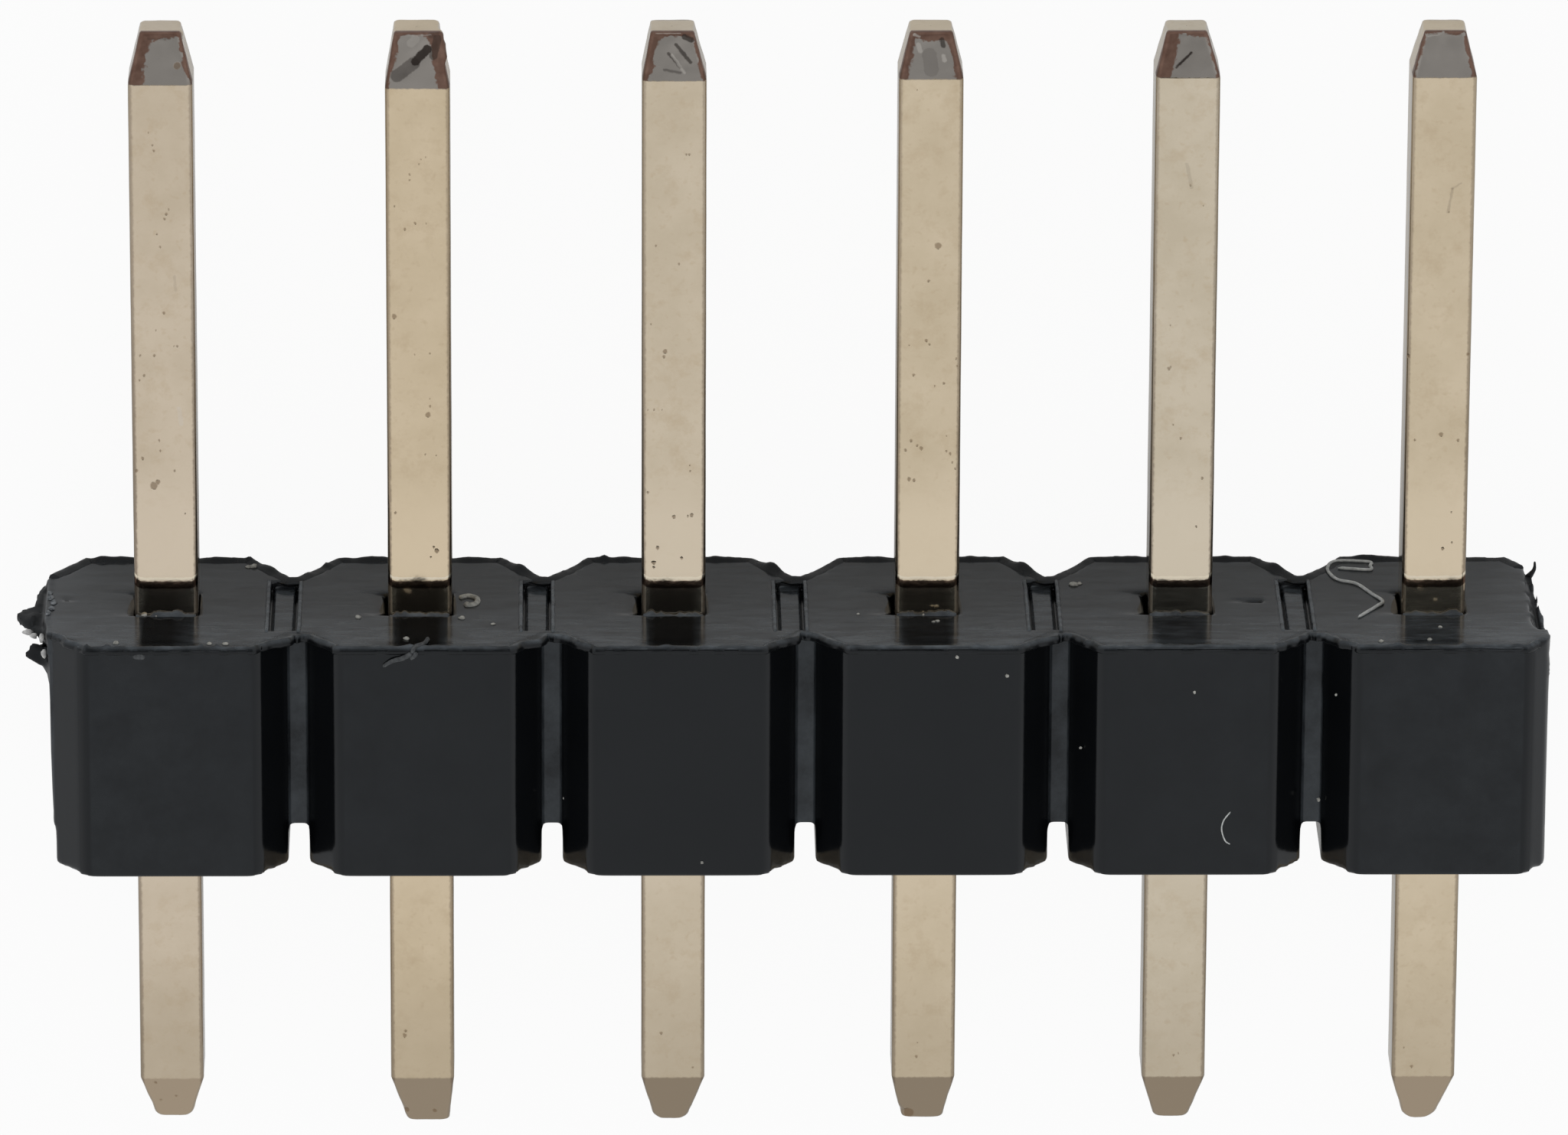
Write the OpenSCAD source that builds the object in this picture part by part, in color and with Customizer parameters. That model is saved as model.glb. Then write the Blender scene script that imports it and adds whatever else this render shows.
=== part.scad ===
// Straight single-row pin header strip, six positions, snapped from a longer strip.
// It lies on its back: X runs along the row, +Y along the mating ends of the pins and +Z out of the front face.
// The origin is on the board side of the insulator, on the pins' centre plane, in the middle of the row.
// All sizes are in millimetres.

/* [Row] */
// Distance from one pin to the next
pitch = 2.54; // [2.3:0.01:5.08]

/* [Insulator] */
// Depth of the insulator, from its back face to its front face
body_depth = 2.54; // [2.2:0.01:5]
// Height of the insulator, from its board side to its mating side
body_height = 2.46; // [1.4:0.01:9]

/* [Notches between cells] */
// Width of the front notch at the front face
front_notch_width = 0.82; // [0.5:0.01:1]
// Depth of the front notch
front_notch_depth = 0.43; // [0.2:0.01:0.6]
// Width of the flat strip at the bottom of the front notch
front_strip_width = 0.16; // [0.06:0.01:0.3]
// Sideways shift of the front notches, from the moulding tool's front half
front_notch_shift = 0.05; // [-0.1:0.01:0.1]
// Width of the back notch at the back face
back_notch_width = 0.86; // [0.5:0.01:1]
// Depth of the back notch
back_notch_depth = 0.55; // [0.2:0.01:0.65]
// Width of the flat strip at the bottom of the back notch
back_strip_width = 0.07; // [0.04:0.01:0.3]
// Sideways shift of the back notches, from the moulding tool's back half
back_notch_shift = -0.02; // [-0.1:0.01:0.1]
// Width of the open slot below each web
slot_width = 0.21; // [0.1:0.01:0.35]
// Height of the open slot below each web
slot_height = 0.41; // [0.15:0.01:1]
// Rounding of the slot's upper corners
slot_round = 0.05; // [0.02:0.01:0.05]

/* [Pockets on the webs] */
// Width of the shallow pocket on top of each web
pocket_width = 0.29; // [0.16:0.01:0.4]
// Depth of the pocket
pocket_depth = 0.07; // [0.03:0.01:0.3]
// Width of each sloping side wall of the pocket
pocket_wall = 0.04; // [0.01:0.005:0.06]
// Lip left between the pocket and the notches at its two ends
pocket_lip = 0.09; // [0.05:0.01:0.2]
// Sideways shift of the pockets, from the moulding tool's mating half
pocket_shift = -0.1; // [-0.15:0.01:0.15]

/* [Pins] */
// Side of the square pin
pin_size = 0.64; // [0.4:0.01:0.8]
// Flat that rounds off each long edge of the pin
pin_edge = 0.03; // [0.01:0.005:0.06]
// Length of the mating end that stands out of the insulator
mating_length = 6.1; // [3:0.1:15]
// Length of the solder tail below the insulator
tail_length = 3.04; // [1.5:0.01:8]
// Length of the taper at the mating tip
mating_taper = 0.52; // [0.2:0.01:1.2]
// Side of the square flat at the mating tip
mating_tip = 0.39; // [0.2:0.01:0.39]
// Length of the taper at the tail tip
tail_taper = 0.47; // [0.2:0.01:1.2]
// Side of the square flat at the tail tip
tail_tip = 0.39; // [0.2:0.01:0.39]

/* [Torn ends] */
// How far the ledge on the torn web stands past the last notch plane on the left
left_stub = 0.09; // [0:0.01:0.12]
// Height of that ledge, down from the mating side
ledge_height = 0.24; // [0.1:0.01:0.4]
// How far the torn web lies short of the last notch plane below the ledge
left_loss = 0.1; // [0.05:0.01:0.15]
// How far the right end is torn away short of the last notch plane
right_loss = 0.14; // [0.1:0.01:0.2]
// Roughness of the torn faces
tear_step = 0.04; // [0.01:0.01:0.06]
// How far the upper splinter stands out of the torn web
upper_splinter_reach = 0.13; // [0.05:0.01:0.3]
// Thickness of the upper splinter, measured along the pins
upper_splinter_height = 0.18; // [0.05:0.01:0.4]
// How far the lower splinter stands out of the torn web
lower_splinter_reach = 0.05; // [0.02:0.01:0.2]
// Height of the lower splinter at its root
lower_splinter_height = 0.24; // [0.1:0.01:0.4]
// How far the lower splinter's root lies below the mating side
lower_splinter_drop = 0.24; // [0.1:0.01:0.5]
// How deep the splinters are rooted behind the ledge's crest
splinter_root = 0.3; // [0.25:0.01:0.4]

/* [Hidden] */

pin_count = 6;
row_width = pin_count * pitch;
left_plane = -row_width / 2;
right_plane = row_width / 2;
front_face = body_depth / 2;
back_face = -body_depth / 2;
web_front = front_face - front_notch_depth;
web_back = back_face + back_notch_depth;
web_depth = web_front - web_back;
cut_past = 0.2;
plastic_black = [0.15, 0.16, 0.165];
plated_gold = [0.77, 0.71, 0.62];

// Each point of a torn face: how many tear steps it lies behind the crest, and its share of the web's depth.
left_tear = [[2, 0.01], [0.75, 0.13], [1, 0.21], [0.25, 0.37], [0, 0.46], [1.25, 0.62], [3.5, 0.78], [4.5, 0.86]];
lower_tear = [[0.6, -0.3], [0.2, 0], [0.5, 0.16], [0, 0.33], [0.4, 0.55], [0.3, 0.71], [0, 0.85], [0.5, 1.1]];
right_tear = [[1.75, -0.13], [1, 0.23], [1.1, 0.36], [0.4, 0.61], [0.5, 0.74], [0.1, 0.93], [0, 1]];

// Where pin number i stands along the row.
function pin_x(i) = (i - (pin_count + 1) / 2) * pitch;

// The plane between two cells, or past the last cell, counted from the left end.
function notch_x(k) = left_plane + k * pitch;

// The points of a notch from left to right: its mouth, the two corners of its strip and its mouth again.
function front_notch(k) = [
    [notch_x(k) + front_notch_shift - front_notch_width / 2, front_face],
    [notch_x(k) + front_notch_shift - front_strip_width / 2, web_front],
    [notch_x(k) + front_notch_shift + front_strip_width / 2, web_front],
    [notch_x(k) + front_notch_shift + front_notch_width / 2, front_face]
];

function back_notch(k) = [
    [notch_x(k) + back_notch_shift - back_notch_width / 2, back_face],
    [notch_x(k) + back_notch_shift - back_strip_width / 2, web_back],
    [notch_x(k) + back_notch_shift + back_strip_width / 2, web_back],
    [notch_x(k) + back_notch_shift + back_notch_width / 2, back_face]
];

function reversed(points) = [for (i = [len(points) - 1 : -1 : 0]) points[i]];

// A place on the ledge: how far out of its crest it lies on the left, and its share of the web's depth.
function left_place(out, share) = [left_plane - left_stub - out, web_back + share * web_depth];

// The torn edge of the ledge on the left, from back to front.
function left_face() = [for (p = left_tear) left_place(-p[0] * tear_step, p[1])];

// The torn web face below the ledge on the left, from back to front.
function lower_face() = [
    for (p = lower_tear) [left_plane + left_loss + p[0] * tear_step, web_back + p[1] * web_depth]
];

// The torn cell face on the right, from back to front.
function right_face() = [
    for (p = right_tear) [right_plane - right_loss - p[0] * tear_step, web_back + p[1] * web_depth]
];

// The row seen along the pins: back notches, right tear, front notches and the ledge on the left.
function plan() = concat(
    [for (p = back_notch(0)) if (p[0] > left_plane) p],
    [for (k = [1 : pin_count - 1], p = back_notch(k)) p],
    [back_notch(pin_count)[0]],
    right_face(),
    [front_notch(pin_count)[0]],
    [for (k = [pin_count - 1 : -1 : 1], p = reversed(front_notch(k))) p],
    reversed([for (p = front_notch(0)) if (p[0] > left_plane) p]),
    reversed(left_face())
);

// A shape drawn in X and Z, drawn out along Y between two heights.
module drawn_along_pins(from, to) {
    translate([0, to, 0])
        rotate([90, 0, 0])
            linear_extrude(height = to - from)
                children();
}

// What broke away below the ledge on the left.
module left_break() {
    past_crest = left_plane - left_stub - cut_past;
    drawn_along_pins(-cut_past, body_height - ledge_height)
        polygon(concat(
            [[past_crest, lower_face()[0][1]]],
            lower_face(),
            [[past_crest, lower_face()[len(lower_tear) - 1][1]]]
        ));
}

// The open slot between two cells below their web.
module slot(k) {
    translate([notch_x(k) + front_notch_shift, 0, back_face - cut_past])
        linear_extrude(height = body_depth + 2 * cut_past)
            polygon([
                [-slot_width / 2, -cut_past],
                [slot_width / 2, -cut_past],
                [slot_width / 2, slot_height - slot_round],
                [slot_width / 2 - slot_round, slot_height],
                [-slot_width / 2 + slot_round, slot_height],
                [-slot_width / 2, slot_height - slot_round]
            ]);
}

// The shallow pocket on top of a web, with two sloping side walls.
module pocket(k) {
    half_floor = pocket_width / 2 - pocket_wall;
    half_top = pocket_width / 2 + pocket_wall * cut_past / pocket_depth;
    translate([notch_x(k) + pocket_shift, body_height, web_back + pocket_lip])
        linear_extrude(height = web_front - web_back - 2 * pocket_lip)
            polygon([
                [-half_floor, -pocket_depth],
                [half_floor, -pocket_depth],
                [half_top, cut_past],
                [-half_top, cut_past]
            ]);
}

// The pin's cross-section: a square whose four edges are taken off.
module pin_section() {
    half = pin_size / 2;
    flat = half - pin_edge;
    polygon([
        [flat, -half], [half, -flat], [half, flat], [flat, half],
        [-flat, half], [-half, flat], [-half, -flat], [-flat, -half]
    ]);
}

// The pin seen from one side: a long bar that tapers at both tips.
module pin_side_view() {
    top = body_height + mating_length;
    half = pin_size / 2;
    polygon([
        [-tail_tip / 2, -tail_length],
        [tail_tip / 2, -tail_length],
        [half, tail_taper - tail_length],
        [half, top - mating_taper],
        [mating_tip / 2, top],
        [-mating_tip / 2, top],
        [-half, top - mating_taper],
        [-half, tail_taper - tail_length]
    ]);
}

// A flat sliver of the ledge, level with the floor of the torn pocket.
module upper_splinter() {
    drawn_along_pins(body_height - pocket_depth - upper_splinter_height, body_height - pocket_depth)
        polygon([
            left_place(-splinter_root, 0.4),
            left_place(0, 0.46),
            left_place(upper_splinter_reach, 0.58),
            left_place(upper_splinter_reach * 0.7, 0.7),
            left_place(0, 0.8),
            left_place(-splinter_root, 0.9)
        ]);
}

// An upright sliver farther down the torn web, near its front.
module lower_splinter() {
    root_top = body_height - lower_splinter_drop;
    root_bottom = root_top - lower_splinter_height;
    corner = left_place(0, 0.8);
    translate([corner[0], 0, corner[1]])
        linear_extrude(height = web_depth * 0.09)
            polygon([
                [splinter_root, root_top],
                [0, root_top + tear_step],
                [-lower_splinter_reach, root_top - lower_splinter_height / 3],
                [0, root_top - lower_splinter_height / 2],
                [splinter_root, root_bottom]
            ]);
}

module insulator() {
    color(plastic_black)
        difference() {
            union() {
                difference() {
                    drawn_along_pins(0, body_height) polygon(plan());
                    left_break();
                }
                upper_splinter();
                lower_splinter();
            }
            for (k = [0 : pin_count]) {
                slot(k);
                pocket(k);
            }
            for (i = [1 : pin_count])
                translate([pin_x(i), 0, 0])
                    drawn_along_pins(-cut_past, body_height + cut_past) pin_section();
        }
}

module pin(i) {
    color(plated_gold)
        translate([pin_x(i), 0, 0])
            intersection() {
                translate([0, 0, -pin_size / 2])
                    linear_extrude(height = pin_size)
                        pin_side_view();
                rotate([0, 90, 0])
                    translate([0, 0, -pin_size / 2])
                        linear_extrude(height = pin_size)
                            pin_side_view();
                drawn_along_pins(-tail_length, body_height + mating_length) pin_section();
            }
}

insulator();
pin(1);  // pin_1
pin(2);  // pin_2
pin(3);  // pin_3
pin(4);  // pin_4
pin(5);  // pin_5
pin(6);  // pin_6
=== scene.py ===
import math
from collections import namedtuple
from itertools import product

import bpy
import numpy as np
from mathutils import Matrix, Vector


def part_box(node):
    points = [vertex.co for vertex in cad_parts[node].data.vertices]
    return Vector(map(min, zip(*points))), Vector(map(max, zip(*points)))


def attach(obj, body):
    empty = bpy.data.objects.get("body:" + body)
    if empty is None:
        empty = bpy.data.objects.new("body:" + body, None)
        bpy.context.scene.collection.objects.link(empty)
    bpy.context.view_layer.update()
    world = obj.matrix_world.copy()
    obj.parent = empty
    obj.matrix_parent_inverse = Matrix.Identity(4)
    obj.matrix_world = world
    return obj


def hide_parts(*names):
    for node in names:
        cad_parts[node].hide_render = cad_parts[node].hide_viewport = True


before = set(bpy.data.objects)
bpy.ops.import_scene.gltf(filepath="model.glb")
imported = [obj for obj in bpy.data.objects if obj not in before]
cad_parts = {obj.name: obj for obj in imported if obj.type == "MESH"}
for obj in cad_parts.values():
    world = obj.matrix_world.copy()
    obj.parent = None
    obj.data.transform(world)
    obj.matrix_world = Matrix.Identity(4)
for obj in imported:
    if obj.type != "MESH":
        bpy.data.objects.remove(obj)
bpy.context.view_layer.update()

# Straight single-row pin header strip, six positions, snapped from a longer strip. It lies on its back:
# X runs along the row, +Y along the mating ends of the pins and +Z out of the front face.
# Sizes are in millimetres and are turned into metres where a mesh is made.

MM = 0.001

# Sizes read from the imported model
PIN_COUNT = 6
body_low, body_high = [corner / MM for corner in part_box("insulator")]
pin_boxes = [[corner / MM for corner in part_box(f"pin_{i + 1}")] for i in range(PIN_COUNT)]
PIN_X = [(low.x + high.x) / 2 for low, high in pin_boxes]
PIN_TOP = pin_boxes[0][1].y
PIN_BOTTOM = pin_boxes[0][0].y
PIN_HALF = (pin_boxes[0][1].x - pin_boxes[0][0].x) / 2
PITCH = (PIN_X[-1] - PIN_X[0]) / (PIN_COUNT - 1)
BODY_HEIGHT = body_high.y
HALF_DEPTH = body_high.z
FLOOR = body_low.z
LEFT_PLANE = PIN_X[0] - PITCH / 2

# Moulding: notches between the cells, slots below the webs and pockets on top of them
Notch = namedtuple("Notch", "mouth strip depth shift")
FRONT = Notch(mouth=0.82, strip=0.16, depth=0.43, shift=0.05)
BACK = Notch(mouth=0.86, strip=0.07, depth=0.55, shift=-0.02)
NOTCH_EDGE = 0.09
SLOT_WIDTH = 0.21
SLOT_HEIGHT = 0.41
POCKET_WIDTH = 0.29
POCKET_DEPTH = 0.07
POCKET_WALL = 0.04
POCKET_LIP = 0.09
POCKET_SHIFT = -0.1
GROOVE_DEPTH = 0.06
WEB_FRONT = HALF_DEPTH - FRONT.depth
WEB_BACK = BACK.depth - HALF_DEPTH
HOLE_GAP = 0.004

# Torn ends
LEDGE_X = LEFT_PLANE - 0.09
LEDGE_HEIGHT = 0.24
LOWER_TEAR_X = LEFT_PLANE + 0.1
RIGHT_TEAR_X = LEFT_PLANE + PIN_COUNT * PITCH - 0.14

# Each tear's edge: shares of the web's depth, and how far behind the tear's plane the edge lies there
LEFT_SHARE = [0.01, 0.13, 0.21, 0.37, 0.46, 0.62, 0.78, 0.86]
LEFT_BEHIND = [0.08, 0.03, 0.04, 0.01, 0, 0.05, 0.14, 0.18]
RIGHT_SHARE = [-0.13, 0.23, 0.36, 0.61, 0.74, 0.93, 1]
RIGHT_BEHIND = [0.07, 0.04, 0.044, 0.016, 0.02, 0.004, 0]

# Left of the next cell: a ledge with a point, seen along the pins, and a splinter seen from the front
LEDGE = [(-7.4, -1.0), (-7.4, 0.4), (-7.6, 0.4), (-7.69, 0.0), (-7.7, -0.35), (-7.64, -0.95)]
LEDGE_POINT = [(-7.5, -0.38), (-7.5, 0.42), (-7.62, 0.4), (-7.79, 0.14), (-7.88, -0.13), (-7.75, -0.27)]
LEDGE_INNER = -7.585
SPLINTER = [(-7.4, 1.97), (-7.4, 2.16), (-7.69, 2.26), (-7.77, 2.12), (-7.7, 2.06), (-7.56, 1.98)]
FRAYED_X = 7.34

# Pins
MATING_TAPER = 0.52
TAIL_TAPER = 0.47
PIN_CORNER = 0.045


# Smooth noise

def lattice(i, j, k, seed):
    """A repeatable random number from -1 to 1 for each whole-numbered place."""
    h = (i * 73856093) ^ (j * 19349663) ^ (k * 83492791) ^ (seed * 2654435761)
    h = (h ^ (h >> 13)) * 1274126177
    h = (h ^ (h >> 16)) & 0xFFFF
    return h / 32767.5 - 1


def grain(x, y, z, size, seed):
    """Smooth noise from -1 to 1 with features of the given size."""
    x, y, z = np.broadcast_arrays(np.asarray(x, float), np.asarray(y, float), np.asarray(z, float))
    cell = [np.floor(v / size).astype(np.int64) for v in (x, y, z)]
    part = [v / size - c for v, c in zip((x, y, z), cell)]
    fade = [p * p * (3 - 2 * p) for p in part]
    total = 0
    for corner in product((0, 1), repeat=3):
        weight = 1
        for f, end in zip(fade, corner):
            weight = weight * (f if end else 1 - f)
        total = total + weight * lattice(*(c + end for c, end in zip(cell, corner)), seed)
    return total


def rough(x, y, z, size, seed):
    """Three layers of smooth noise, each half as large as the one before."""
    return sum(grain(x, y, z, size / 2 ** n, seed + n) / 2 ** n for n in range(3)) / 1.75


# The insulator as a distance field: negative inside, positive outside

def round_max(a, b, r):
    """The larger of two distances, which cuts one shape with another and rounds the edge between them."""
    blend = np.maximum(r - np.abs(a - b), 0)
    return np.maximum(a, b) + blend * blend / (4 * r)


def round_min(a, b, r):
    """The smaller of two distances, which joins two shapes with a small fillet."""
    return -round_max(-a, -b, r)


def notch_x(k):
    """The plane between two cells, or past the last cell, counted from the left end."""
    return LEFT_PLANE + k * PITCH


def from_plane(x, shift=0.0):
    """How far along the row a place lies from the nearest plane between two cells."""
    return (x - LEFT_PLANE - shift + PITCH / 2) % PITCH - PITCH / 2


def notch(x, out, k, shape):
    """A notch with sloping flanks and a flat strip. out is the distance from the centre plane."""
    run = (shape.mouth - shape.strip) / 2
    slope = math.hypot(run, shape.depth)
    bottom = (HALF_DEPTH - shape.depth) - out
    across = np.abs(x - (notch_x(k) + shape.shift))
    flank = ((across - shape.strip / 2) * shape.depth + bottom * run) / slope
    return round_max(flank, bottom, 0.02)


def plan(x, z):
    """The row seen along the pins, without its torn ends."""
    d = np.abs(z) - HALF_DEPTH + 0 * x
    for k in range(PIN_COUNT + 1):
        d = round_max(d, -notch(x, z, k, FRONT), NOTCH_EDGE)
        d = round_max(d, -notch(x, -z, k, BACK), NOTCH_EDGE)
    return d


# Small pits in the mating side: middle along the row, middle from front to back, reach and depth
DENTS = [
    (4.61, -0.04, 0.06, 0.06),
    (4.51, 0.02, 0.05, 0.04),
    (4.72, -0.13, 0.05, 0.04),
    (-7.37, -0.11, 0.05, 0.04),
    (-2.21, 0.56, 0.04, 0.035),
    (7.0, -0.98, 0.06, 0.05),
]


def dents(x, z):
    """How far the pits sink the mating side."""
    drop = 0
    for px, pz, reach, depth in DENTS:
        away = np.hypot(x - px, (z - pz) * 1.6) / reach
        drop = drop + depth * np.clip(1 - away, 0, 1) ** 0.7
    return drop


def slot(x, y, k):
    """The open slot between two cells below their web."""
    side = np.abs(x - notch_x(k) - FRONT.shift) - SLOT_WIDTH / 2
    return round_max(side, y - SLOT_HEIGHT, 0.06)


def pocket(x, y, z, k):
    """The shallow pocket on top of a web, with two sloping side walls."""
    floor = (BODY_HEIGHT - POCKET_DEPTH) - y
    half = POCKET_WIDTH / 2 - POCKET_WALL - floor * POCKET_WALL / POCKET_DEPTH
    across = np.abs(x - notch_x(k) - POCKET_SHIFT)
    ends = np.maximum((WEB_BACK + POCKET_LIP) - z, z - (WEB_FRONT - POCKET_LIP))
    hollow = np.maximum(np.maximum(across - half, ends), floor)
    groove = np.maximum(np.abs(across - POCKET_WIDTH / 2 + POCKET_WALL / 2) - 0.022, ends)
    return np.minimum(hollow, np.maximum(groove, floor - GROOVE_DEPTH))


def prism(u, v, corners):
    """Distance to a convex outline, given by its corners anticlockwise."""
    d = -1e3
    for (ua, va), (ub, vb) in zip(corners, corners[1:] + corners[:1]):
        length = math.hypot(ub - ua, vb - va)
        d = np.maximum(d, ((vb - va) * (u - ua) - (ub - ua) * (v - va)) / length)
    return d


def left_tear(d, x, y, z, web_share, ragged):
    """The left end: the torn ledge at the mating side, its splinters, and the cleaner tear below it."""
    crest = LEDGE_X + np.interp(web_share, LEFT_SHARE, LEFT_BEHIND)
    d = np.maximum(d, crest + 0.02 * ragged - x)
    lower = LOWER_TEAR_X + 0.035 * np.clip(1 - y / BODY_HEIGHT, 0, 1) + 0.012 * ragged
    below = y - (BODY_HEIGHT - LEDGE_HEIGHT) + 0.03 * ragged
    d = np.maximum(d, -np.maximum(x - lower, below))
    sliver = np.minimum(prism(x, z, LEDGE) + 0.03 * ragged, prism(x, z, LEDGE_POINT) + 0.008 * ragged)
    d = round_min(d, np.maximum(sliver, np.abs(y - 2.3) - 0.06 - 0.025 * ragged), 0.015)
    torn = np.clip((LEDGE_INNER - x) / 0.03, 0, 1) * (0.05 + 0.05 * rough(x, 0, z, 0.11, 33))
    d = np.maximum(d, y - BODY_HEIGHT + POCKET_DEPTH + torn - 10 * np.clip(x - LEDGE_INNER, 0, 1))
    splinter = prism(x, y, SPLINTER) + 0.01 * ragged
    d = round_min(d, np.maximum(splinter, np.abs(z - 0.6) - 0.06 - 0.02 * ragged), 0.015)
    nib = np.hypot(np.hypot(x + 7.53, y - 1.42), z - 0.8) - 0.045 * np.clip((x + 7.62) / 0.1, 0, 1)
    return round_min(d, nib, 0.01)


def right_tear(d, x, y, z, web_share, ragged):
    """The right end: a plain tear that is frayed along the mating side."""
    right = RIGHT_TEAR_X - np.interp(web_share, RIGHT_SHARE, RIGHT_BEHIND)
    d = round_max(d, x - right - 0.012 * ragged * np.clip((y - 1.4) / 0.6, 0.25, 1.4), 0.012)
    frayed = np.clip((x - FRAYED_X - 0.06 * rough(x, 0, z, 0.13, 35)) / 0.02, 0, 1)
    frayed = frayed * np.clip((0.75 - z) / 0.1, 0, 1)
    return np.maximum(d, y - BODY_HEIGHT + frayed * (0.05 + 0.06 * rough(x, 0, z, 0.12, 36)))


def insulator_distance(x, y, z):
    """The whole moulding, torn ends and splinters included."""
    top = BODY_HEIGHT - dents(x, z) + 0.0025 * rough(x, 0, z, 0.6, 41)
    d = round_max(plan(x, z) + 0.0015 * rough(x, y, z, 0.5, 42), y - top, 0.022)
    ragged = rough(x, y, z, 0.09, 31)
    web_share = (z - WEB_BACK) / (WEB_FRONT - WEB_BACK)
    d = left_tear(d, x, y, z, web_share, ragged)
    d = right_tear(d, x, y, z, web_share, ragged)
    for k in range(PIN_COUNT + 1):
        d = round_max(d, -slot(x, y, k), 0.02)
        d = round_max(d, -pocket(x, y, z, k), 0.008)
    for px in PIN_X:
        hole = np.maximum(np.abs(x - px), np.abs(z)) - PIN_HALF - HOLE_GAP
        d = round_max(d, -hole, 0.004)
    return round_max(d, -y, 0.045)


def spread_lines(start, stop, marks, fine, coarse, growth):
    """Places from start to stop, close together near the marks and farther apart between them."""
    marks = np.array(marks)
    lines = [start]
    while lines[-1] < stop:
        away = np.abs(marks - lines[-1]).min()
        step = fine + growth * max(0.0, away - 2 * fine)
        lines.append(lines[-1] + min(step, coarse))
    return np.array(lines)


def surface_net(xs, ys, zs, d):
    """A closed mesh of quads round the part of the grid where the distance is negative."""
    inside = d < 0
    grid = np.meshgrid(xs, ys, zs, indexing="ij", sparse=True)
    spots = np.zeros([n - 1 for n in d.shape] + [3])
    count = np.zeros(spots.shape[:3])
    crossings = []
    for axis in range(3):
        crosses = np.diff(inside, axis=axis)
        low = d.take(range(d.shape[axis] - 1), axis)
        share = np.where(crosses, low / np.where(crosses, -np.diff(d, axis=axis), 1), 0)
        place = []
        for n, lines in enumerate(grid):
            if n == axis:
                lines = lines.take(range(lines.shape[n] - 1), n) + share * np.diff(lines, axis=n)
            place.append(lines * crosses)
        place = np.stack(place, -1)
        for shifts in product(*[(0,) if n == axis else (0, 1) for n in range(3)]):
            window = tuple(slice(shift, size - 1 + shift) for shift, size in zip(shifts, d.shape))
            spots += place[window]
            count += crosses[window]
        crossings.append((crosses, low < 0))
    used = count > 0
    number = np.full(used.shape, -1)
    number[used] = np.arange(used.sum())
    return spots[used] / count[used][:, None], net_faces(number, crossings)


def net_faces(number, crossings):
    """The quads of a surface net, given each grid cell's point and where the surface crosses the grid."""
    quads = []
    for axis, (crosses, low_inside) in enumerate(crossings):
        u, v = (axis + 1) % 3, (axis + 2) % 3
        at = np.argwhere(crosses)
        keep = (at[:, u] > 0) & (at[:, v] > 0) & (at[:, u] < number.shape[u]) & (at[:, v] < number.shape[v])
        at = at[keep]
        ring = []
        for back_u, back_v in ((1, 1), (0, 1), (0, 0), (1, 0)):
            cell = at.copy()
            cell[:, u] -= back_u
            cell[:, v] -= back_v
            ring.append(number[tuple(cell.T)])
        ring = np.stack(ring, 1)
        faces_low = ~low_inside[tuple(at.T)]
        ring[faces_low] = ring[faces_low][:, ::-1]
        quads.append(ring)
    return np.concatenate(quads)


# The places of a ridge's profile that its overhang moves lie closer to the edge than this
OUTER_PLACES = 0.06


def edge_path(side, start, stop):
    """The edge of the mating side, seen along the pins: side 1 is the front and -1 the back."""
    shape = FRONT if side > 0 else BACK
    x = np.arange(start, stop, 0.025)
    away = np.abs(from_plane(x, shape.shift))
    cut = np.clip((shape.mouth / 2 - away) / ((shape.mouth - shape.strip) / 2), 0, 1)
    return x, side * (HALF_DEPTH - shape.depth * cut)


def ridge(x, z, inward, heights, profile, overhang=0.0):
    """A raised line of moulding along a path on the mating side.

    inward is 1 where the line's inner side lies toward +Z. A profile's places give how far inward they are,
    their fixed height and their share of the ridge's own height. The overhang moves the outer ones out.
    """
    run = np.convolve(np.pad(np.gradient(x), 2, "edge"), np.ones(5) / 5, "valid")
    rise = np.convolve(np.pad(np.gradient(z), 2, "edge"), np.ones(5) / 5, "valid")
    length = np.hypot(run, rise)
    across_x, across_z = -rise / length * inward, run / length * inward
    rings = []
    for away, fixed, share in profile:
        shift = away - overhang * (away < OUTER_PLACES)
        ring_x = x + across_x * shift
        ring_z = z + across_z * shift
        rings.append(np.stack([ring_x, BODY_HEIGHT + fixed + share * heights, ring_z], 1))
    return tube(np.stack(rings, 1))


def skin_faces(count, size):
    """The quads between closed rings of points, each ring with the same number of places."""
    faces = []
    for start in range(0, (count - 1) * size, size):
        for n in range(size):
            m = (n + 1) % size
            faces.append((start + n, start + m, start + size + m, start + size + n))
    return faces


def tube(rings):
    """A closed skin over rings of points, shaped rings by places by three."""
    count, size = rings.shape[:2]
    ends = [tuple(reversed(range(size))), tuple(range((count - 1) * size, count * size))]
    return rings.reshape(-1, 3), skin_faces(count, size) + ends


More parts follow.
